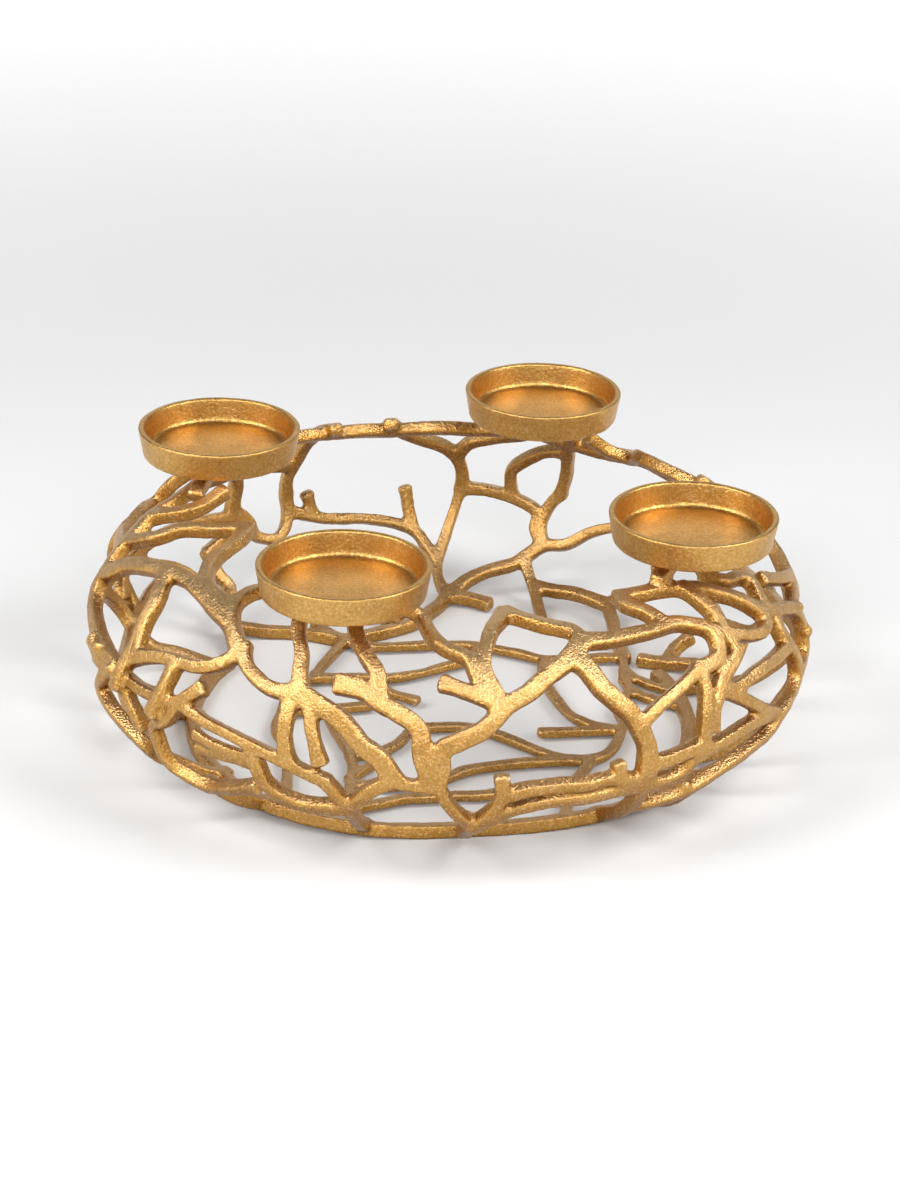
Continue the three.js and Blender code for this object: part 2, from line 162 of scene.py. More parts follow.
goldSettings = {
    "ringRadius": 0.137,
    "seamHeight": 0.060,
    "face": colour(0.56, 0.314, 0.088),
    "side": colour(0.57, 0.308, 0.072),
    "cup": colour(0.57, 0.330, 0.092),
    # recess: dark brown, painted as shade in hollows and under the bars, and also mottled in at random
    "recess": colour(0.20, 0.072, 0.006),
    # edge: pale gold, painted as highlights on the tops, the outer edges and the peaks of the grain
    "edge": colour(0.86, 0.64, 0.40),
    "dulled": 0.8,  # how strongly painted shade darkens the faces that look down
    "faceRoughness": 0.35,
    "sideRoughness": 0.29,
    "cupRoughness": 0.36,
    "unevenness": 0.2,  # of the roughness
    "grain": 1500.0,  # how fine each pattern is
    "pits": 800.0,
    "lumps": 260.0,
    "patches": 38.0,
    "fileMarks": 1300.0,
    "fileStretch": (0.19, 0.06, 0.25),  # file marks: round the wall, up it and through it
    "cupGrain": 1700.0,
    "cupSpecks": 700.0,
    "cupPatches": 60.0,
    "branchRelief": 0.0010,
    "cupRelief": 0.0004,
}


def branchGold():
    s = goldSettings
    g = Graph("branch_gold")
    place = g.node("ShaderNodeTexCoord", {}, {}, out="Object")
    normal = g.node("ShaderNodeTexCoord", {}, {}, out="Normal")
    x = g.node("ShaderNodeSeparateXYZ", {}, {0: place}, out=0)
    y = g.node("ShaderNodeSeparateXYZ", {}, {0: place}, out=1)
    z = g.node("ShaderNodeSeparateXYZ", {}, {0: place}, out=2)
    nx = g.node("ShaderNodeSeparateXYZ", {}, {0: normal}, out=0)
    ny = g.node("ShaderNodeSeparateXYZ", {}, {0: normal}, out=1)
    nz = g.node("ShaderNodeSeparateXYZ", {}, {0: normal}, out=2)

    # how squarely the surface lies along the wall: 1 on the ground faces, 0 on the sides
    radius = (x * x + y * y) ** 0.5 + 0.0001
    out = radius - s["ringRadius"]
    up = z - s["seamHeight"]
    reach = (out * out + up * up) ** 0.5 + 0.0001
    along = (nx * x + ny * y) / radius * (out / reach) + nz * (up / reach)
    ground = g.smooth(along.math("ABSOLUTE"), 0.70, 0.92)

    grain = g.noise(place, s["grain"], 4.0, 0.65)
    pits = g.noise(place, s["pits"], 1.0, 0.5)
    lumps = g.noise(place, s["lumps"], 3.0, 0.55)
    patches = g.noise(place, s["patches"], 3.0, 0.6)

    # file marks that run up and down across the ground faces
    about, upwards, through = s["fileStretch"]
    turn = y.math("ARCTAN2", x) * about
    marks = g.node("ShaderNodeCombineXYZ", {}, {0: turn, 1: z * upwards, 2: radius * through})
    strokes = g.noise(marks, s["fileMarks"], 3.0, 0.55)

    recess = g.node("ShaderNodeAttribute", {"attribute_name": "recess"}, {}, out="Fac")
    edge = g.node("ShaderNodeAttribute", {"attribute_name": "edge"}, {}, out="Fac")

    base = g.mix(ground, s["side"], s["face"])
    # painted highlight: faces that look up are lightened towards the edge colour
    base = g.mix(g.smooth(nz, 0.35, 0.95, 0.0, 0.3), base, s["edge"])
    # painted shade: faces that look down are darkened towards the recess colour
    base = g.mix(g.smooth(nz, -0.75, 0.15, s["dulled"], 0.0), base, s["recess"])
    base = g.mix(g.smooth(patches, 0.4, 0.75, 0.0, 0.3), base, s["recess"])
    # painted glints: the peaks of the pits grain are lightened towards the edge colour
    base = g.mix(g.smooth(pits, 0.50, 0.75, 0.0, 0.35), base, s["edge"])
    base = g.mix(g.smooth(pits, 0.25, 0.48, 0.3, 0.0), base, s["recess"])
    # painted shade: hollows and inner corners, where the recess attribute is high, are darkened towards
    # the recess colour
    base = g.mix(g.smooth(recess, 0.15, 0.9, 0.0, 0.7), base, s["recess"])
    # painted highlight: outer edges, where the edge attribute is high, are lightened towards the edge
    # colour
    base = g.mix(g.smooth(edge, 0.2, 0.75, 0.0, 0.7), base, s["edge"])

    rough = g.smooth(ground, 0.0, 1.0, s["sideRoughness"], s["faceRoughness"])
    rough = rough + (patches - 0.5) * s["unevenness"]

    hammered = (pits * 0.7 + grain * 0.2 + lumps * 0.45) * (1 - ground)
    filed = (strokes * 0.35 + grain * 0.15 + pits * 0.45 + lumps * 0.2) * ground
    relief = {"Strength": 1.0, "Distance": s["branchRelief"], "Height": hammered + filed}
    bump = g.node("ShaderNodeBump", {}, relief)

    shader = g.node(
        "ShaderNodeBsdfPrincipled",
        {},
        {"Base Color": base, "Metallic": 1.0, "Roughness": rough, "Normal": bump},
    )
    return g.finish(shader)


def cupGold():
    s = goldSettings
    g = Graph("cup_gold")
    place = g.node("ShaderNodeTexCoord", {}, {}, out="Object")
    grain = g.noise(place, s["cupGrain"], 4.0, 0.65)
    specks = g.noise(place, s["cupSpecks"], 1.0, 0.5)
    patches = g.noise(place, s["cupPatches"], 3.0, 0.6)
    edge = g.node("ShaderNodeAttribute", {"attribute_name": "edge"}, {}, out="Fac")
    base = g.mix(g.smooth(patches, 0.4, 0.75, 0.0, 0.25), s["cup"], s["recess"])
    # painted glints: the peaks of the specks grain are lightened towards the edge colour
    base = g.mix(g.smooth(specks, 0.50, 0.75, 0.0, 0.3), base, s["edge"])
    base = g.mix(g.smooth(specks, 0.25, 0.48, 0.3, 0.0), base, s["recess"])
    # painted highlight: the cup's outer edges, where the edge attribute is high, are lightened towards
    # the edge colour
    base = g.mix(g.smooth(edge, 0.2, 0.9, 0.0, 0.5), base, s["edge"])
    rough = s["cupRoughness"] + (patches - 0.5) * s["unevenness"]
    relief = {"Strength": 1.0, "Distance": s["cupRelief"], "Height": grain * 0.25 + specks * 0.8}
    bump = g.node("ShaderNodeBump", {}, relief)
    shader = g.node(
        "ShaderNodeBsdfPrincipled",
        {},
        {"Base Color": base, "Metallic": 1.0, "Roughness": rough, "Normal": bump},
    )
    return g.finish(shader)


branchSettings = {
    "depth": 0.0078,  # through the wall
    "broadWidth": 0.0094,
    "thinWidth": 0.0050,
    "thinDepth": 0.0052,
    "footWidth": 0.0074,
    "footSink": 0.6,
    "floorWidth": 0.0058,
    "floorDepth": 0.0050,
    "floorHeight": 0.0044,
    "spread": 0.0008,  # how much wider or narrower one branch is than the next
    "swell": 0.24,  # how much wider a branch is where it meets others
    "swellPower": 4,  # higher keeps the swelling nearer the ends
    "tip": [(0.10, 1.0), (0.24, 0.82), (0.33, 0.50)],  # past a branch's end, in widths, and how large
    "step": 0.003,  # from ring to ring along a branch
    "sides": 12,
    "squareness": 0.40,  # 1 is round, and less is squarer
    "twist": 14,  # degrees
    "voxel": 0.00075,
    "filletRounds": 38,  # more rounds fill the inner corners further
    "filletPull": 0.7,
    "flat": 2e-6,  # corners shallower than this stay as they are
    "runTogether": 0.00055,  # bars closer than twice this are joined
    "speck": 60,  # a loose part with fewer points than this is taken away
    "waver": 0.0011,  # the uneven surface of a wax pattern made by hand
    "waverSize": 0.014,
    "facets": 0.0003,
    "facetSize": 0.0030,
    "kept": 0.32,  # share of the faces left at the end
    # lumps of weld metal on the outside: degrees round and up the wall, lift and size in mm
    "welds": [
        (351, 27, -3.0, 5.0), (353, 14, -2.5, 5.0), (345, 0, -3.0, 5.0), (315, -4, -3.0, 5.0),
        (311, -29, -3.0, 5.0), (208, 10, -3.0, 5.0), (202, 12, -3.0, 5.0),
    ],
    "clumpLumps": 5,
    "clumpSpread": 0.45,
    "lumpSize": (0.7, 0.15),  # share of the clump's size, and how much it varies
    "beadSize": 0.0028,
    "beadSink": 0.0008,
    "beadEvery": 20,  # degrees: branches nearer than this share a bead
    "beadReach": (0.034, 0.0425),
    "touch": 0.0006,  # a branch this near a cup's foot is welded to it
    "cupFoot": 0.0412,
    "cupRoom": (0.0427, 0.0453),  # radius that branches keep out of, at a cup's foot and rim
    "cupGap": 0.0002,
    "cupCorner": 0.002,
    "floorSeed": 900,
    "footSeed": 950,
    "edgeRounds": 6,
    "edgeReach": 0.0005,
}

# the wall's section: radius and height at the seam, how far it bulges, and its heights
wall = {"radius": 0.137, "bulge": 0.063, "seam": 0.060, "rim": 0.125, "upper": 1.9, "lower": 1.75}

# the branches of each casting, in places on the wall: degrees round, degrees up, and lift in mm
castings = [
    {
        # lower left casting
        "width": 6.8,
        "routes": [
            # along the seam
            [[129, -9], [137, -3], [145, 1], [154, 0], [163, -2], [172, -2]],
            [[138, -24], [138, -38], [137, -47], [142, -58]],
            [[131, -1], [128, -13], [127, -24], [123, -29]],
            [[128, -14], [134, -19], [138, -24]],
            [[157, -3], [153, -14], [147, -24], [144, -34], [144, -50], [144, -66], [148, -80],
                [153, -93]],
            [[174, 1], [171, -5], [168, -14], [166, -26], [166, -38], [166, -50], [162, -64],
                [160, -80], [160, -93]],
            [[160, 0], [161, -8], [163, -14], [164, -20]],
            [[162, -16], [162, -28], [166, -36]],
            [[173, -1], [177, -12], [179, -26], [181, -40], [182, -56], [181, -68], [184, -80],
                [187, -91]],
            [[166, -37], [174, -41], [181, -41]],
            [[147, -24], [156, -29], [166, -37]],
            [[181, -41], [188, -45], [197, -47], [206, -44], [214, -39]],
            [[203, -46], [194, -57], [190, -68], [184, -80]],
            # outer left
            [[200, 4], [207, 8], [213, 10], [219, 11], [226, 14], [233, 11], [240, 8], [247, 3],
                [253, -5]],
            [[199, 13, 3], [202, 9, 2], [206, 7], [209, 8]],
            [[207, 8], [204, -4, 1], [202, -16, 2], [206, -19, 3], [211, -23, 3], [215, -29, 3],
                [214, -39, 2], [214, -56], [216, -70], [216, -84]],
            [[216, -17], [215, -7], [213, 2]],
            [[226, 14], [230, 26]],
            [[226, 14], [224, 3], [221, -6], [221, -17, 1], [222, -27, 3], [224, -34, 3],
                [229, -38, 2], [235, -31, 1], [241, -22]],
            [[241, 4], [242, -7], [243, -17], [245, -23], [249, -27], [256, -23]],
            [[229, -38], [231, -60], [233, -91]],
        ],
        "thinRoutes": [
            [[229, -2, -4], [232, -4, -4], [236, -5, -4], [241, -4, -3]],
            [[229, -14, -4], [233, -12, -4], [237, -10, -4], [242, -9, -3]],
        ],
    },
    {
        # lower back casting
        "width": 6.8,
        "routes": [
            [[88, -4], [84, -4], [79, -8], [74, -16], [74, -26], [72, -35]],
            [[88, -4], [89, -18], [90, -29], [91, -39], [92, -50], [92, -60], [90, -75]],
            [[70, 0], [72, -12], [73, -24], [72, -35]],
            [[72, -35], [68, -33], [63, -22], [57, -14], [48, -9]],
            [[72, -35], [75, -44], [77, -49], [82, -55], [85, -60], [90, -75]],
            [[90, -75], [85, -76], [80, -80]],
            [[75, -45], [72, -59], [70, -68], [67, -82], [65, -94]],
            [[71, -61], [67, -61], [62, -60], [54, -61]],
            [[54, -61], [50, -71], [43, -88], [36, -99]],
            [[54, -61], [51, -52], [46, -42], [46, -26], [48, -9]],
            [[120, -1], [120, -14], [121, -23], [123, -29], [122, -44], [116, -62], [109, -84],
                [106, -108]],
            [[119, -14], [113, -21], [103, -25], [97, -31], [94, -42], [92, -50]],
            [[115, -19], [116, -3]],
            [[97, -29], [98, -5]],
            [[90, -75], [94, -95], [100, -112], [110, -120], [124, -122]],
            [[144, -66], [140, -76], [134, -92], [127, -112], [124, -122]],
        ],
    },
    {
        # lower front casting
        "width": 6.8,
        "routes": [
            [[253, -5], [256, -23, -1], [256, -45, -4], [255, -70, -4], [254, -82, -1]],
            [[263, 3], [266, 0], [269, 2]],
            [[263, 3], [260, -6], [258, -14], [256, -23]],
            [[269, 2], [270, -3], [271, -12], [273, -23], [275, -33, -2], [275, -60, -6],
                [275, -80, -2]],
            [[275, -33], [278, -19], [279, -8], [279, 5]],
            [[275, -33], [281, -18], [286, -14], [292, -15], [297, -14], [302, -15]],
            [[279, -8], [283, -4], [287, -3], [292, -5], [296, -4], [302, -14]],
            [[298, -13], [297, 5]],
            [[302, -15], [308, -16], [311, -6], [313, 2]],
            [[302, 0], [308, 1], [313, 2]],
            [[302, -15], [303, -42, -3], [305, -68, -3], [306, -84]],
        ],
    },
    {
        # lower right casting
        "width": 6.8,
        "routes": [
            # outer right
            [[344, -1], [341, -7, 1], [335, -10, 2], [331, -16, 3], [325, -18, 3], [319, -21, 3],
                [314, -26, 3], [309, -31, 2], [303, -38, -2]],
            [[311, -6], [319, -2], [326, -2], [333, -9]],
            [[344, -1], [348, -20], [346, -40], [342, -62], [340, -91]],
            [[331, -16], [334, -36], [330, -58], [326, -91]],
            [[314, -26], [316, -50], [318, -72], [320, -91]],
            [[346, -40], [334, -36]],
            # back right
            [[48, -9], [38, -3], [30, -9], [20, -10], [12, -10], [4, -7], [-4, -4], [-16, -1]],
            [[0, -4], [2, -14], [4, -26], [6, -40], [8, -54], [12, -66], [15, -80], [16, -92]],
            [[38, -3], [38, -20], [35, -33], [27, -42], [20, -50], [17, -62], [13, -70]],
            [[20, -10], [17, -17], [17, -26], [19, -35], [27, -42]],
            [[20, -40], [17, -48], [14, -58], [13, -66]],
            [[18, -62], [24, -71], [28, -80], [33, -92]],
            [[31, -58], [31, -68], [28, -80]],
        ],
    },
    {
        # upper left casting
        "width": 7.4,
        "routes": [
            # the rim, under the back left cup
            [[176, 88, 5], [168, 90, 9], [158, 88, 10], [147, 88, 9], [139, 82, 5]],
            [[151, 88, 8], [150, 62], [152, 42], [153, 26], [155, 0]],
            [[133, 28], [139, 27], [146, 21], [153, 28], [160, 34, -1], [168, 33, -2], [176, 40, -2],
                [185, 47]],
            [[166, 34, -1], [166, 18], [163, 0]],
            [[165, 92, 9], [168, 86, 4], [173, 76], [178, 64], [183, 53], [187, 34]],
            [[184, 51], [187, 58], [190, 68], [190, 80], [191, 92], [192, 106], [192, 117]],
            [[192, 117], [197, 112], [203, 101], [208, 88], [213, 77], [218, 71], [226, 68]],
            [[179, 66], [181, 80], [180, 92, 2], [176, 104, 8]],
            [[205, 64], [210, 50], [211, 40], [213, 24]],
            [[212, 20], [218, 29], [222, 32], [227, 34], [230, 37], [233, 44], [234, 51]],
            [[212, 26], [212, 6, 5]],
            [[223, 33], [223, 20, 2], [222, 5, 5]],
            [[226, 68], [226, 77], [227, 88], [232, 91, 5], [238, 90, 10]],
            [[226, 69], [229, 60], [233, 51]],
            [[187, 34], [188, 25], [191, 19], [196, 16], [202, 13], [208, 11]],
        ],
        "broadRoutes": [
            [[187, 34], [190, 39], [193, 48], [199, 58], [206, 65], [211, 68], [217, 67], [223, 64],
                [228, 61]],
        ],
    },
    {
        # upper back casting
        "width": 7.4,
        "routes": [
            # the rim, from the back left cup to the back right one
            [[139, 82, 5], [132, 70, -1], [119, 64, -3], [110, 62, -4], [101, 56, -4], [92, 60, -4],
                [85, 55, -3], [79, 56, -1], [73, 66, 5], [66, 84, 10], [60, 72, 5]],
            [[103, 66, -2], [100, 44], [96, 35], [92, 29], [89, 21]],
            [[89, 21], [86, 33], [81, 40], [76, 47], [73, 66, 3]],
            [[89, 21], [88, 9], [88, -5]],
            [[79, -5], [79, 13], [77, 20], [72, 31], [68, 34]],
            [[68, 34], [69, 14], [70, 1]],
            [[68, 34], [66, 50, 1], [66, 76, 8]],
            [[116, 72, -2], [118, 42], [119, 24], [120, 14], [120, 1]],
            [[120, 22], [126, 27], [134, 44], [139, 66, 3], [142, 84, 8]],
            [[139, 60, 2], [135, 40], [131, 20], [131, 0]],
        ],
    },
    {
        # upper front casting
        "width": 7.4,
        "routes": [
            # under the front left cup
            [[238, 90, 4], [248, 88, 4], [260, 90, 4]],
            # front left, below the cup
            [[236, 90, 10], [240, 82, 6], [242, 68], [245, 56], [246, 46], [247, 37]],
            [[247, 37], [242, 36], [239, 39], [236, 44], [234, 51]],
            [[247, 37], [249, 32], [250, 24], [251, 16], [252, 7]],
            [[246, 31], [246, 17], [247, 4]],
            [[251, 88, 9], [253, 73, 1], [256, 62], [259, 52], [260, 41]],
            [[260, 90, 10], [264, 92, 4], [267, 80], [269, 72], [271, 68], [274, 64], [275, 58],
                [276, 50], [279, 41]],
            [[284, 103], [280, 86], [278, 73], [277, 63], [277, 55], [278, 48], [279, 41]],
            [[270, 50], [273, 47], [279, 40]],
            [[284, 103], [288, 91], [291, 83], [295, 76], [296, 68]],
            # front right
            [[296, 68], [300, 66], [305, 65], [311, 64], [316, 63], [319, 59], [322, 53], [322, 45],
                [320, 39], [315, 38]],
            [[315, 38], [309, 32], [306, 29], [301, 22]],
            [[315, 38], [315, 28], [314, 19], [313, 10], [313, 2]],
        ],
        "broadRoutes": [
            [[247, 37], [253, 31], [256, 25], [258, 19], [261, 13], [263, 3]],
            [[253, 45], [257, 44], [260, 39], [263, 35], [266, 30], [267, 24], [267, 17], [268, 9],
                [269, 0]],
            [[269, 0], [270, 11], [270, 19], [273, 24], [276, 28], [278, 33], [280, 39], [284, 45],
                [287, 51], [292, 59], [296, 68]],
            [[293, 62], [295, 51], [296, 43], [298, 35], [300, 28], [301, 20], [302, 12], [302, 2],
                [302, -13]],
        ],
    },
    {
        # upper right casting
        "width": 7.4,
        "routes": [
            # the rim, from the back right cup round to the right one
            [[60, 66, 0], [57, 54, -3], [53, 48, -2], [48, 60, -2], [43, 60, -3], [37, 58, -3],
                [32, 52, -2], [25, 60], [17, 75, 2], [8, 86, 6], [-2, 90, 9], [-14, 90, 10],
                [-28, 90, 10], [-38, 88, 5]],
            [[72, 47, 1], [64, 42], [58, 42], [51, 46], [47, 42], [41, 35], [33, 22]],
            # right, under and beside the cup
            [[312, 95], [322, 86], [329, 74], [332, 65], [335, 56], [338, 43]],
            [[313, 94], [311, 86], [313, 75], [314, 64]],
            [[338, 43], [337, 38], [334, 37], [331, 39], [327, 44], [323, 50]],
            [[325, 92, 9], [322, 88, 2]],
            [[343, 90, 9], [336, 78, 1], [337, 67], [341, 63], [343, 58], [341, 50], [339, 42]],
            [[374, 76, 2], [373, 60], [370, 44], [364, 34], [360, 29], [354, 29], [350, 28]],
            [[361, 32], [352, 44], [347, 52]],
            [[338, 43], [342, 39], [350, 28], [353, 13], [353, 1]],
            [[342, 39], [340, 31], [341, 22], [343, 11], [344, 0]],
            [[326, 80, 1], [326, 58], [325, 46], [325, 37], [322, 33], [319, 29], [318, 25]],
            [[318, 25], [322, 22], [328, 23], [334, 22], [341, 21]],
            [[318, 25], [322, 17], [326, 8], [331, -5]],
            [[318, 25], [316, 18], [315, 8]],
            # back right
            [[32, 57], [30, 38], [33, 22], [36, 8], [38, -1]],
            [[17, 75, 2], [16, 56], [18, 38], [14, 24], [11, 8], [9, -3]],
            [[33, 22], [26, 27], [18, 36]],
        ],
    },
]

# the foot ring runs from the back left round the front to the back right
footRing = [
    [156, -91], [176, -88], [196, -84], [212, -80], [226, -76], [240, -75], [252, -79], [264, -86],
    [276, -91], [288, -90], [300, -85], [312, -79], [324, -79], [336, -84], [348, -88], [364, -91],
    [384, -93],
]

# the floor net, in mm
floorRoutes = [
    [[-77, 107], [-58, 87], [-43, 80], [-26, 81], [-3, 85], [20, 84], [41, 77], [58, 69], [80, 72],
        [103, 76]],
    [[-58, 87], [-63, 73], [-69, 55], [-75, 36], [-88, 8], [-90, -12], [-92, -30], [-86, -48],
        [-83, -68], [-82, -109]],
    [[-75, 36], [-61, 37], [-45, 39], [-30, 39], [-14, 46], [2, 57], [14, 66], [20, 84]],
    [[-37, 38], [-32, 22], [-15, 11]],
    [[-90, -8], [-66, -3], [-52, 0], [-40, 4]],
    [[-66, -3], [-57, -35], [-51, -53], [-48, -70], [-48, -92], [-46, -129]],
    [[-51, -60], [-32, -52], [-23, -40], [-16, -26], [8, -20], [26, -25]],
    [[-49, -86], [-37, -68]],
    [[26, -25], [40, -36], [51, -45], [62, -53], [72, -55], [81, -55]],
    [[-48, -92], [-20, -91], [0, -84], [13, -72], [34, -64], [48, -60], [81, -55]],
    [[-46, -119], [-29, -111], [-19, -106], [-5, -104], [8, -101], [21, -100], [42, -93], [69, -88]],
    [[81, -55], [75, -73], [69, -88], [66, -120]],
    [[54, -24], [70, -22], [95, -18]],
    [[58, 69], [56, 50], [59, 34], [66, 11], [72, -3], [82, -13], [95, -18]],
    [[103, 45], [105, 32], [98, 8], [100, -9], [98, -25], [90, -48], [81, -55]],
    [[103, 76], [103, 45]],
    [[103, 58], [109, 48], [120, 38], [131, 30], [135, 10]],
    [[105, 32], [117, 22], [135, 14]],
]


def wander(seed):
    # a number from -1 to 1 that always comes out the same for one seed
    value = math.sin(seed * 12.9898) * 43758.5453
    return 2 * (value - math.floor(value)) - 1


def wallSection(up):
    turn = math.radians(max(-90, min(90, up)))
    power = 2 / (wall["lower"] if up < 0 else wall["upper"])
    half = wall["seam"] if up < 0 else wall["rim"] - wall["seam"]
    out = wall["radius"] + wall["bulge"] * max(math.cos(turn), 0) ** power - max(abs(up) - 90, 0) / 1000
    return Vector((out, wall["seam"] + math.copysign(half, turn) * abs(math.sin(turn)) ** power))


def onWall(at, depth=branchSettings["depth"]):
    # the middle of a branch at a place on the wall, and the way that the wall faces there
    section = wallSection(at.y)
    along = (wallSection(at.y + 1) - wallSection(at.y - 1)).normalized()
    out = Vector((math.cos(math.radians(at.x)), math.sin(math.radians(at.x)), 0))
    face = out * along.y + Vector((0, 0, -along.x))
    middle = out * section.x + Vector((0, 0, section.y))
    return middle + face * (at.z / 1000 - depth / 2), face


def underWall(at):
    return onWall(Vector((at.x, at.y, branchSettings["footSink"])))


def onFloor(at):
    return Vector((at.x / 1000, at.y / 1000, branchSettings["floorHeight"])), Vector((0, 0, 1))


def onCurve(route, at):
    # a smooth curve through the places of a route, carried straight on past both ends
    i = min(int(at), len(route) - 2)
    p1, p2 = route[i], route[i + 1]
    p0 = route[i - 1] if i > 0 else 2 * p1 - p2
    p3 = route[i + 2] if i + 2 < len(route) else 2 * p2 - p1
    d0, d1, d2 = ((b - a).length ** 0.5 for a, b in ((p0, p1), (p1, p2), (p2, p3)))
    leave = ((p1 - p0) / d0 - (p2 - p0) / (d0 + d1) + (p2 - p1) / d1) * d1
    arrive = ((p2 - p1) / d1 - (p3 - p1) / (d1 + d2) + (p3 - p2) / d2) * d1
    t = at - i
    ends = p1 * (2 * t**3 - 3 * t**2 + 1) + p2 * (3 * t**2 - 2 * t**3)
    return ends + leave * (t**3 - 2 * t**2 + t) + arrive * (t**3 - t**2)


def addBranch(bm, places, put, width, depth, seed):
    # a bar with a rounded, nearly square section, swept along its route
    s = branchSettings
    route = [Vector((*at, 0)) if len(at) == 2 else Vector(at) for at in places]
    stations = []
    for i in range(len(route) - 1):
        stretch = (put(onCurve(route, i + 1))[0] - put(onCurve(route, i))[0]).length
        steps = max(2, round(stretch / s["step"]))
        stations += [i + k / steps for k in range(steps)]
    stations.append(len(route) - 1)
    middles, faces = (list(found) for found in zip(*(put(onCurve(route, at)) for at in stations)))
    sizes = [1.0] * len(stations)
    ends = [(middles[i], (middles[i] - middles[j]).normalized()) for i, j in ((0, 1), (-1, -2))]
    for past, size in s["tip"]:
        for i, (end, way) in zip((0, len(middles) + 1), ends):
            middles.insert(i, end + way * past * width)
            faces.insert(i, faces[min(i, len(faces) - 1)])
            stations.insert(i, stations[min(i, len(stations) - 1)])
            sizes.insert(i, size)
    rings = []
    for i, middle in enumerate(middles):
        along = (middles[min(i + 1, len(middles) - 1)] - middles[max(i - 1, 0)]).normalized()
        side = along.cross(faces[i]).normalized()
        face = side.cross(along)
        share = stations[i] / (len(route) - 1)
        wide = width * (1 + s["swell"] * abs(2 * share - 1) ** s["swellPower"]) * sizes[i]
        high = depth * sizes[i]
        lean = math.radians(s["twist"]) * wander(seed + 0.5) * math.sin(math.pi * share)
        cosLean, sinLean = math.cos(lean), math.sin(lean)
        side, face = side * cosLean + face * sinLean, face * cosLean - side * sinLean
        ring = []
        for k in range(s["sides"]):
            turn = 2 * math.pi * (k + 0.5) / s["sides"]
            c, n = math.cos(turn), math.sin(turn)
            across = math.copysign(abs(c) ** s["squareness"], c) * wide / 2
            out = math.copysign(abs(n) ** s["squareness"], n) * high / 2
            ring.append(bm.verts.new(middle + side * across + face * out))
        rings.append(ring)
    for a, b in zip(rings, rings[1:]):
        for k in range(s["sides"]):
            bm.faces.new((a[k - 1], a[k], b[k], b[k - 1]))
    bm.faces.new(rings[0])
    bm.faces.new(list(reversed(rings[-1])))


def addNet(bm):
    s = branchSettings
    for number, casting in enumerate(castings):
        seed = 100 * (number + 1)
        groups = (
            ("routes", casting["width"] / 1000, s["depth"], 0),
            ("broadRoutes", s["broadWidth"], s["depth"], 40),
            ("thinRoutes", s["thinWidth"], s["thinDepth"], 60),
        )
        for key, width, depth, start in groups:
            for i, route in enumerate(casting.get(key, [])):
                own = seed + start + i
                addBranch(bm, route, onWall, width + s["spread"] * wander(own), depth, own)
    for i, route in enumerate(floorRoutes):
        addBranch(bm, route, onFloor, s["floorWidth"], s["floorDepth"], s["floorSeed"] + i)
    addBranch(bm, footRing, underWall, s["footWidth"], s["depth"], s["footSeed"])


def addLump(bm, place, size):
    bmesh.ops.create_icosphere(bm, subdivisions=2, radius=size, matrix=Matrix.Translation(place))


def addClump(bm, place, size, seed):
    # a few lumps run into one another
    s = branchSettings
    whole, varied = s["lumpSize"]
    for k in range(s["clumpLumps"]):
        way = Vector((wander(seed + k), wander(seed + k + 10), wander(seed + k + 20)))
        own = size * (whole + varied * wander(seed + k + 30))
        addLump(bm, place + way * size * s["clumpSpread"], own)


def addCupBeads(bm, node):
    # a bead of weld metal wherever a branch reaches the edge of a cup's foot
    s = branchSettings
    low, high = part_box(node)
    middle = (low + high) / 2
    inner, outer = s["beadReach"]
    sectors = {}
    for name in branchNodes:
        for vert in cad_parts[name].data.vertices:
            across = Vector((vert.co.x - middle.x, vert.co.y - middle.y))
            if abs(vert.co.z - low.z) < s["touch"] and inner < across.length < outer:
                turn = math.degrees(math.atan2(across.y, across.x))
                sectors.setdefault(round(turn / s["beadEvery"]), []).append(across)
    for found in sectors.values():
        across = sum(found, Vector((0, 0))).normalized() * s["cupFoot"]
        place = (middle.x + across.x, middle.y + across.y, low.z - s["beadSink"])
        addLump(bm, place, s["beadSize"])


def keepOutOfCup(place, node):
    # metal that would stand in a cup's room lies against its foot or its side
    s = branchSettings
    foot, rim = s["cupRoom"]
    low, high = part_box(node)
    middle = (low + high) / 2
    across = place[:, :2] - np.array(middle[:2])
    reach = np.linalg.norm(across, axis=1)
    floor = low.z - s["cupGap"]
    above = place[:, 2] - floor
    room = foot + (rim - foot) * np.clip(above / (high.z - low.z), 0, 1)
    inside = (above > 0) & (reach < room)
    under = inside & (above < room - reach + s["cupCorner"])
    beside = inside & ~under
    place[under, 2] = floor
    place[beside, :2] += across[beside] * (room / np.maximum(reach, 1e-6) - 1)[beside, None]


def points(mesh, what):
    values = np.zeros(len(mesh.vertices) * 3, np.float32)
    mesh.vertices.foreach_get(what, values)
    return values.reshape(-1, 3).astype(float)


def runMetalIntoCorners(obj):
    # inner corners fill with metal as in a casting, and outer edges stay as they are
    s = branchSettings
    mesh = obj.data
    ends = np.zeros(len(mesh.edges) * 2, np.int32)
    mesh.edges.foreach_get("vertices", ends)
    first, second = ends.reshape(-1, 2).T
    count = len(mesh.vertices)
    neighbours = np.bincount(ends, minlength=count)
    place = points(mesh, "co")
    for i in range(s["filletRounds"]):
        if i % 5 == 0:
            mesh.vertices.foreach_set("co", place.astype(np.float32).ravel())
            mesh.update()
            normals = points(mesh, "normal")
        middle = np.empty_like(place)
        for axis in range(3):
            total = np.bincount(first, place[second, axis], count)
            total += np.bincount(second, place[first, axis], count)
            middle[:, axis] = total / neighbours
        outwards = ((middle - place) * normals).sum(1)
        place += normals * np.maximum(outwards - s["flat"], 0.0)[:, None] * s["filletPull"]
    mesh.vertices.foreach_set("co", place.astype(np.float32).ravel())
    mesh.update()


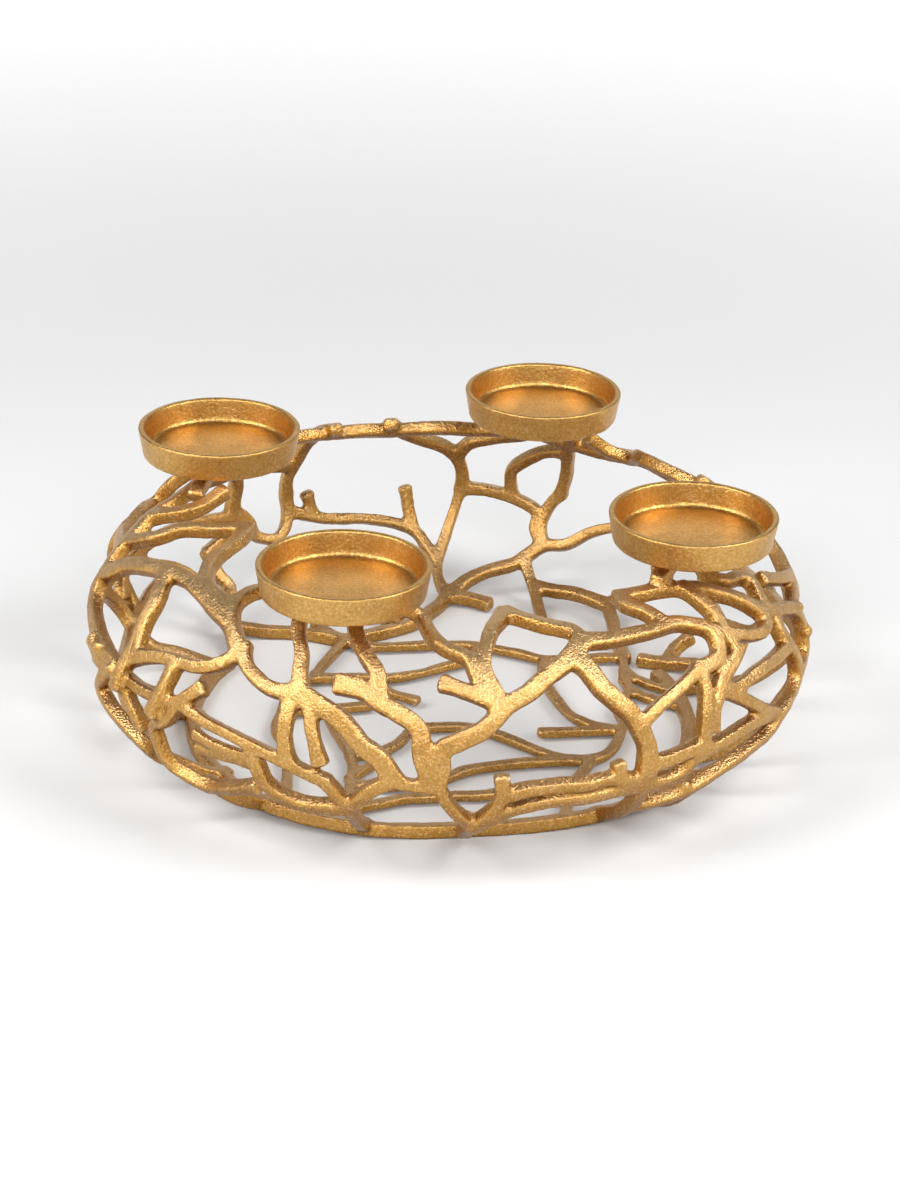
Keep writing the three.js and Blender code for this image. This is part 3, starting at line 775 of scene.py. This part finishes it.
def castBranches():
    s = branchSettings
    bm = bmesh.new()
    addNet(bm)
    for node in cupNodes:
        addCupBeads(bm, node)
    for i, (around, up, lift, size) in enumerate(s["welds"]):
        addClump(bm, onWall(Vector((around, up, lift)), 0)[0], size / 1000, 40 * i)
    net = addObject("net", meshOf(bm, "net"))
    modify(net, "REMESH", mode="VOXEL", voxel_size=s["voxel"], use_smooth_shade=True)
    applied(net)
    runMetalIntoCorners(net)
    # swollen, joined and shrunk again, so that bars that almost touch have run together
    modify(net, "DISPLACE", strength=s["runTogether"], mid_level=0.0)
    modify(net, "REMESH", mode="VOXEL", voxel_size=s["voxel"], use_smooth_shade=True)
    modify(net, "DISPLACE", strength=-s["runTogether"], mid_level=0.0)
    modify(net, "SMOOTH", factor=0.5, iterations=2)
    modify(
        net, "DISPLACE", strength=s["waver"], mid_level=0.5,
        texture=cloud("waver", s["waverSize"]), texture_coords="LOCAL",
    )
    modify(
        net, "DISPLACE", strength=s["facets"], mid_level=0.5,
        texture=cloud("facets", s["facetSize"]), texture_coords="LOCAL",
    )
    modify(net, "DECIMATE", ratio=s["kept"])
    applied(net)
    place = points(net.data, "co")
    for node in cupNodes:
        keepOutOfCup(place, node)
    net.data.vertices.foreach_set("co", place.astype(np.float32).ravel())
    net.data.update()
    return net


def markEdges(obj, rounds, reach):
    # how far each point stands out of, or lies in, its smoothed surroundings
    soft = obj.copy()
    soft.data = obj.data.copy()
    bpy.context.scene.collection.objects.link(soft)
    modify(soft, "SMOOTH", factor=0.5, iterations=rounds)
    applied(soft)
    count = len(obj.data.vertices)
    sharp, dull, normals = (np.zeros(count * 3, np.float32) for _ in range(3))
    obj.data.vertices.foreach_get("co", sharp)
    soft.data.vertices.foreach_get("co", dull)
    obj.data.vertices.foreach_get("normal", normals)
    stand = ((sharp - dull).reshape(-1, 3) * normals.reshape(-1, 3)).sum(1) / reach
    # edge later lightens outer edges as a painted highlight, and recess darkens hollows as painted
    # shade
    for name, values in (("edge", stand), ("recess", -stand)):
        attribute = obj.data.attributes.new(name, "FLOAT", "POINT")
        attribute.data.foreach_set("value", np.clip(values, 0.0, 1.0))
    bpy.data.objects.remove(soft)


quarters = {
    "branches_front_left": (-1, -1),
    "branches_front_right": (1, -1),
    "branches_back_left": (-1, 1),
    "branches_back_right": (1, 1),
}


def dropSpecks(bm):
    # loose grains of metal and closed pores
    seen = set()
    specks = []
    for start in bm.verts:
        if start in seen:
            continue
        island = {start}
        front = [start]
        while front:
            vert = front.pop()
            for edge in vert.link_edges:
                other = edge.other_vert(vert)
                if other not in island:
                    island.add(other)
                    front.append(other)
        seen |= island
        if len(island) < branchSettings["speck"]:
            specks += island
    bmesh.ops.delete(bm, geom=specks, context="VERTS")


def quarterOf(net, name, sides):
    bm = bmesh.new()
    bm.from_mesh(net.data)
    for way in (Vector((sides[0], 0, 0)), Vector((0, sides[1], 0)), Vector((0, 0, 1))):
        geom = bm.verts[:] + bm.edges[:] + bm.faces[:]
        cut = bmesh.ops.bisect_plane(
            bm, geom=geom, dist=1e-7, plane_co=(0, 0, 0), plane_no=way, clear_inner=True,
        )
        rim = [e for e in cut["geom_cut"] if isinstance(e, bmesh.types.BMEdge)]
        caps = bmesh.ops.holes_fill(bm, edges=rim)["faces"]
        for face in caps:
            face.smooth = False
            for e in face.edges:
                e.smooth = False
    bmesh.ops.triangulate(bm, faces=[f for f in bm.faces if len(f.verts) > 4])
    dropSpecks(bm)
    return addObject(name, meshOf(bm, name))


cupSettings = {
    "steps": 128,
    "rimRadius": 0.045,
    "footRadius": 0.0424,
    "height": 0.016,
    "wall": 0.0034,
    "floor": 0.003,
    "lip": 0.0011,
    "outerLip": 0.00132,
    "innerFillet": 0.0022,
    "footRound": 0.0014,
    "footInset": 0.0002,
    "roundSteps": 4,
    "edgeRounds": 4,
    "edgeReach": 0.0003,
    "ringSpacing": 0.0024,
    "waver": 0.0004,  # how uneven the cast surface is
    "waverSize": 0.014,
}


def cup(node):
    s = cupSettings
    low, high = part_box(node)
    middle = (low + high) / 2
    innerRim = s["rimRadius"] - s["wall"]
    innerFoot = s["footRadius"] - s["wall"]
    corners = [
        (0.0, 0.0, 0.0),
        (s["footRadius"] - s["footInset"], 0.0, s["footRound"]),
        (s["rimRadius"], s["height"], s["outerLip"]),
        (innerRim, s["height"], s["lip"]),
        (innerFoot, s["floor"], s["innerFillet"]),
        (0.0, s["floor"], 0.0),
    ]
    bm = bmesh.new()
    verts = [bm.verts.new((r, 0.0, h)) for r, h, _ in corners]
    for a, b in zip(verts, verts[1:]):
        bm.edges.new((a, b))
    for vert, (_, _, size) in zip(verts, corners):
        if size:
            bmesh.ops.bevel(
                bm, geom=[vert], offset=size, offset_type="OFFSET", segments=s["roundSteps"],
                profile=0.5, affect="VERTICES", material=-1,
            )
    for edge in bm.edges[:]:
        cuts = int(edge.calc_length() / s["ringSpacing"])
        if cuts:
            bmesh.ops.subdivide_edges(bm, edges=[edge], cuts=cuts)
    bmesh.ops.spin(
        bm, geom=bm.verts[:] + bm.edges[:], cent=(0, 0, 0), axis=(0, 0, 1),
        angle=2 * math.pi, steps=s["steps"], use_merge=True,
    )
    bmesh.ops.remove_doubles(bm, verts=bm.verts, dist=1e-6)
    bmesh.ops.recalc_face_normals(bm, faces=bm.faces)
    bmesh.ops.translate(bm, verts=bm.verts, vec=(middle.x, middle.y, low.z))
    for face in bm.faces:
        face.smooth = True
    made = addObject("gold_" + node.replace("candle_", ""), meshOf(bm, node))
    modify(
        made, "DISPLACE", strength=s["waver"], mid_level=0.5,
        texture=cloud("cupWaver", s["waverSize"]), texture_coords="LOCAL",
    )
    return applied(made)


branchMaterial = branchGold()
cupMaterial = cupGold()
print("materials made")

net = castBranches()
print("branches cast:", len(net.data.polygons), "faces")
markEdges(net, branchSettings["edgeRounds"], branchSettings["edgeReach"])
for name, sides in quarters.items():
    piece = quarterOf(net, name, sides)
    piece.data.materials.append(branchMaterial)
    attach(piece, "root")
    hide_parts(*branchNodes)
    print(name, len(piece.data.polygons))
bpy.data.objects.remove(net)

for node in cupNodes:
    piece = cup(node)
    markEdges(piece, cupSettings["edgeRounds"], cupSettings["edgeReach"])
    piece.data.materials.append(cupMaterial)
    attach(piece, "root")
    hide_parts(node)
    print(piece.name, len(piece.data.polygons))


studio = {
    "floor": colour(0.66, 0.66, 0.66),
    "glow": (0.08, 0.75),  # near the object and far from it, so that the floor is as pale everywhere
    "glowReach": (0.5, 2.0),
    "floorReach": 7.0,
    "wallHeight": 1.2,
    "sweep": 0.8,  # the floor runs up into the wall in a round of this size
    "sweepSteps": 12,
    "turnSteps": 96,
    "world": 0.08,
    # each lamp's name, place, target, width, height and power
    "softboxes": [
        ("left softbox", (-1.5, -0.7, 1.5), (0, 0, 0.06), 1.1, 1.4, 39),
        ("right softbox", (1.5, -0.5, 1.5), (0, 0, 0.06), 1.1, 1.4, 39),
        ("back softbox", (0, 1.9, 1.4), (0, 0.2, 0), 2.4, 1.0, 10),
        ("front softbox", (0, -2.2, 1.7), (0, 0, 0.06), 2.0, 1.0, 38),
    ],
}


def floor():
    reach, height = studio["floorReach"], studio["wallHeight"]
    bm = bmesh.new()
    verts = [bm.verts.new(place) for place in ((0, 0, 0), (reach, 0, 0), (reach, 0, height))]
    for a, b in zip(verts, verts[1:]):
        bm.edges.new((a, b))
    bmesh.ops.bevel(
        bm, geom=[verts[1]], offset=studio["sweep"], offset_type="OFFSET",
        segments=studio["sweepSteps"], profile=0.5, affect="VERTICES", material=-1,
    )
    bmesh.ops.spin(
        bm, geom=bm.verts[:] + bm.edges[:], cent=(0, 0, 0), axis=(0, 0, 1),
        angle=2 * math.pi, steps=studio["turnSteps"], use_merge=True,
    )
    bmesh.ops.remove_doubles(bm, verts=bm.verts, dist=1e-6)
    for face in bm.faces:
        face.smooth = True
    made = addObject("floor", meshOf(bm, "floor"))
    g = Graph("pale_floor")
    place = g.node("ShaderNodeTexCoord", {}, {}, out="Object")
    x = g.node("ShaderNodeSeparateXYZ", {}, {0: place}, out=0)
    y = g.node("ShaderNodeSeparateXYZ", {}, {0: place}, out=1)
    far = g.smooth((x * x + y * y) ** 0.5, *studio["glowReach"], *studio["glow"])
    glow = g.mix(far, colour(0, 0, 0), colour(1, 1, 1))
    shader = g.node(
        "ShaderNodeBsdfPrincipled",
        {},
        {
            "Base Color": studio["floor"], "Roughness": 0.9,
            "Emission Color": glow, "Emission Strength": 1.0,
        },
    )
    made.data.materials.append(g.finish(shader))
    return made


def softbox(name, place, target, width, height, power):
    data = bpy.data.lights.new(name, "AREA")
    data.shape = "RECTANGLE"
    data.size = width
    data.size_y = height
    data.energy = power
    made = addObject(name, data)
    made.location = place
    made.rotation_euler = (Vector(target) - Vector(place)).to_track_quat("-Z", "Y").to_euler()
    return made


cameraSettings = {
    "lens": 98.13,
    "place": (0.002, -1.6361, 0.8229),
    "target": (0.002, 0.0, 0.0724),
    "roll": 1.71,  # degrees: the photographed surface leans a little
}


def camera():
    data = bpy.data.cameras.new("camera")
    data.sensor_width = 36.0
    data.lens = cameraSettings["lens"]
    data.clip_start = 0.05
    data.clip_end = 50.0
    made = addObject("camera", data)
    place, target = Vector(cameraSettings["place"]), Vector(cameraSettings["target"])
    turn = (target - place).to_track_quat("-Z", "Y").to_matrix().to_4x4()
    roll = Matrix.Rotation(math.radians(cameraSettings["roll"]), 4, "Z")
    made.matrix_world = Matrix.Translation(place) @ turn @ roll
    bpy.context.scene.camera = made


def light():
    world = bpy.data.worlds.new("studio")
    world.use_nodes = True
    background = world.node_tree.nodes["Background"]
    background.inputs["Color"].default_value = (1, 1, 1, 1)
    background.inputs["Strength"].default_value = studio["world"]
    bpy.context.scene.world = world
    bpy.context.scene.view_settings.view_transform = "Standard"
    for lamp in studio["softboxes"]:
        softbox(*lamp)


floor()
camera()
light()
print("studio set")
